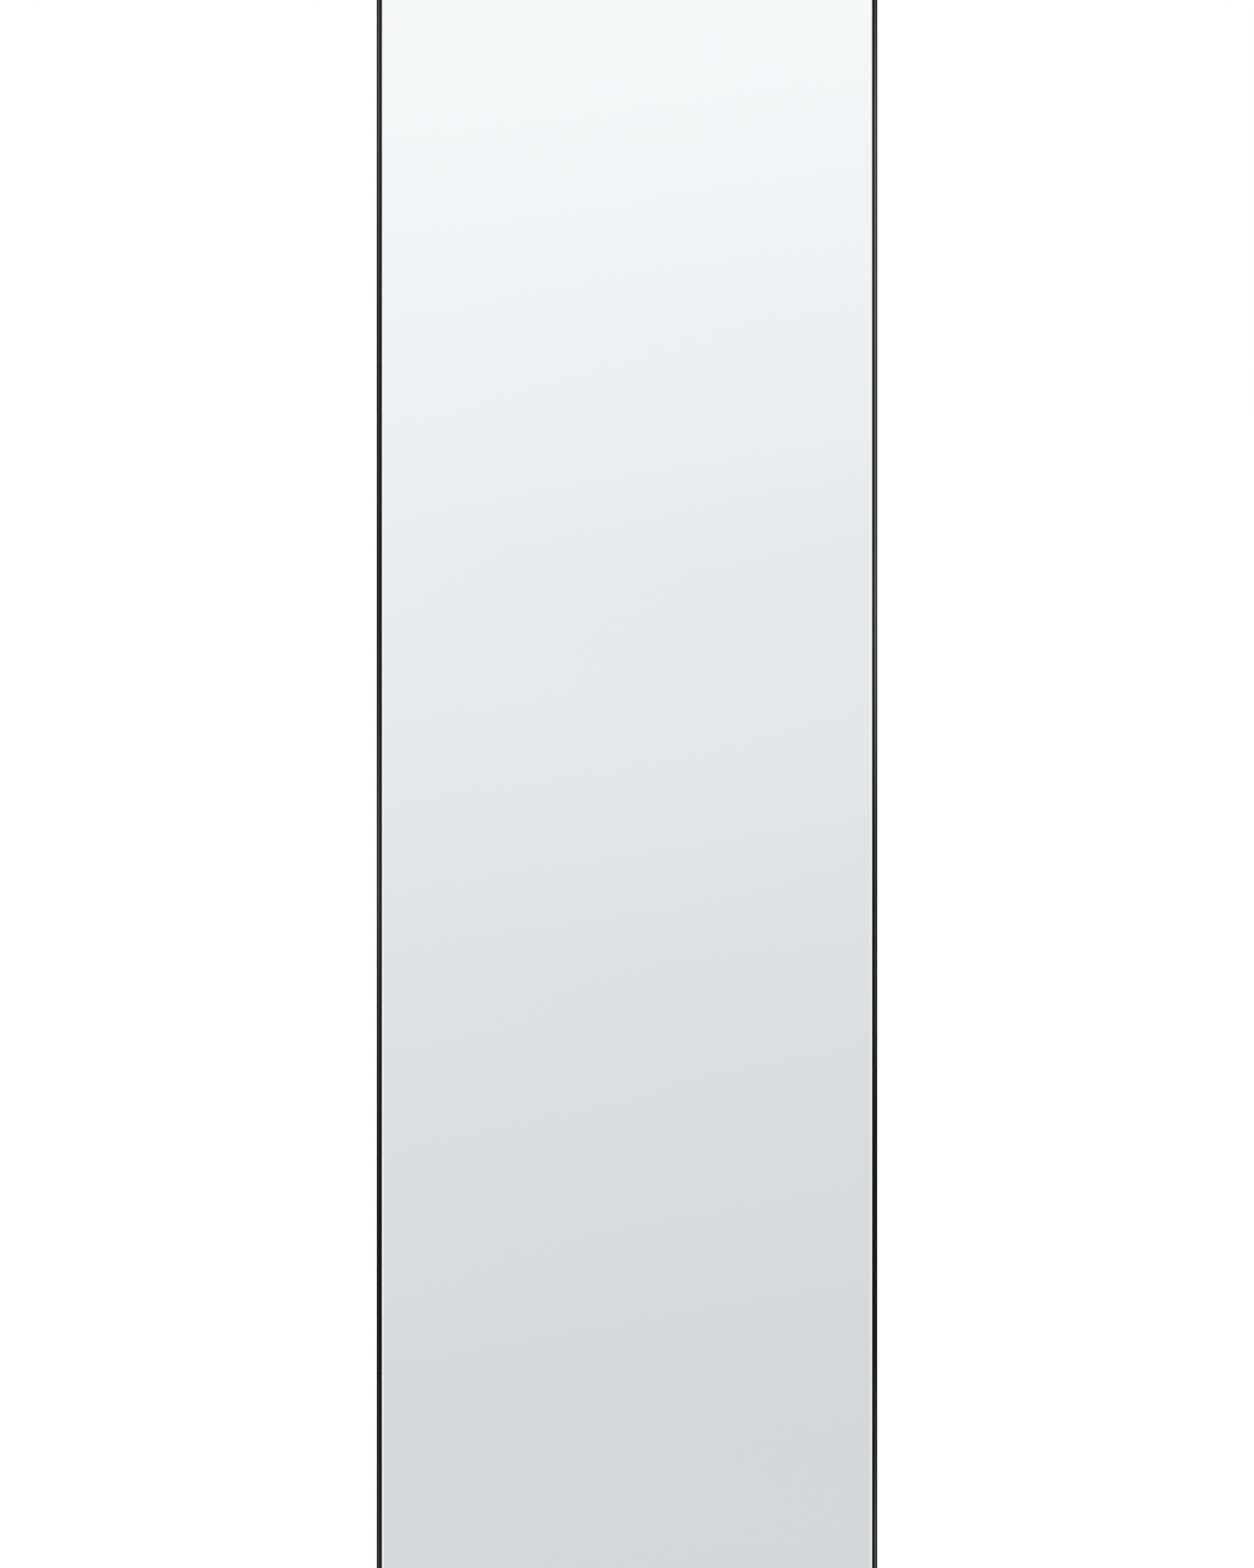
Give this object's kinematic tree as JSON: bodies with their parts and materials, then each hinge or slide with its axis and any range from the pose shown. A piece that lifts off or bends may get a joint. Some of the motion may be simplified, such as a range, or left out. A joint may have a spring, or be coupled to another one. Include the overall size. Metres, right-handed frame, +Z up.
{
  "type": "floor mirror",
  "caption": "Tall slim-framed floor mirror: bevelled glass in a black aluminium frame, leaning on a fold-out U-shaped rear stand.",
  "frame": {"origin": "on the floor, at the middle of the standing mirror's footprint", "axes": "+Z up, -Y towards whoever looks into the mirror, +X to that person's right"},
  "size_m": [0.4, 0.35, 1.4839],
  "materials": {
    "black_anodised": "satin",
    "zinc_plated": "satin",
    "black_oxide": "satin",
    "spring_steel": "satin",
    "mirror_glass": "polished",
    "safety_film": "satin",
    "foam": "matte",
    "hardboard": "matte",
    "black_powder_coat": "satin",
    "nylon": "satin",
    "black_rubber": "matte"
  },
  "bodies": {
    "mirror": {"top_rail": "black_anodised", "bottom_rail": "black_anodised", "left_rail": "black_anodised", "right_rail": "black_anodised", "corner_angle_top_left": "zinc_plated", "corner_angle_top_right": "zinc_plated", "corner_angle_bottom_left": "zinc_plated", "corner_angle_bottom_right": "zinc_plated", "backing_angle_top_left": "zinc_plated", "backing_angle_top_right": "zinc_plated", "backing_angle_bottom_left": "zinc_plated", "backing_angle_bottom_right": "zinc_plated", "corner_set_screws": "black_oxide", "mirror_glass": "mirror_glass", "safety_film": "safety_film", "foam_sheet": "foam", "backing_board": "hardboard", "tension_springs": "spring_steel", "left_hanger_plate": "zinc_plated", "right_hanger_plate": "zinc_plated", "hanger_screws": "zinc_plated", "left_hanger_nut_plate": "zinc_plated", "right_hanger_nut_plate": "zinc_plated", "left_stand_bracket": "black_powder_coat", "right_stand_bracket": "black_powder_coat", "bracket_screws": "zinc_plated", "left_bracket_nut_plate": "zinc_plated", "right_bracket_nut_plate": "zinc_plated", "left_pivot_bolt": "black_oxide", "right_pivot_bolt": "black_oxide", "left_pivot_nut": "zinc_plated", "right_pivot_nut": "zinc_plated", "pivot_washers": "nylon", "left_foot_pad": "black_rubber", "right_foot_pad": "black_rubber", "foot_pad_screws": "zinc_plated", "wall_bumpers": "black_rubber"},
    "stand": {"stand_tube": "black_powder_coat", "left_stand_eye": "black_powder_coat", "right_stand_eye": "black_powder_coat", "stand_eye_rivets": "zinc_plated", "left_stand_sleeve": "black_rubber", "right_stand_sleeve": "black_rubber"}
  },
  "joints": [
    {"name": "stand_fold", "type": "hinge", "parent": "mirror", "child": "stand", "pos_m": [0, 0.03009, 0.98607], "axis": [1, 0, 0], "range_deg": [-18, 0]}
  ]
}
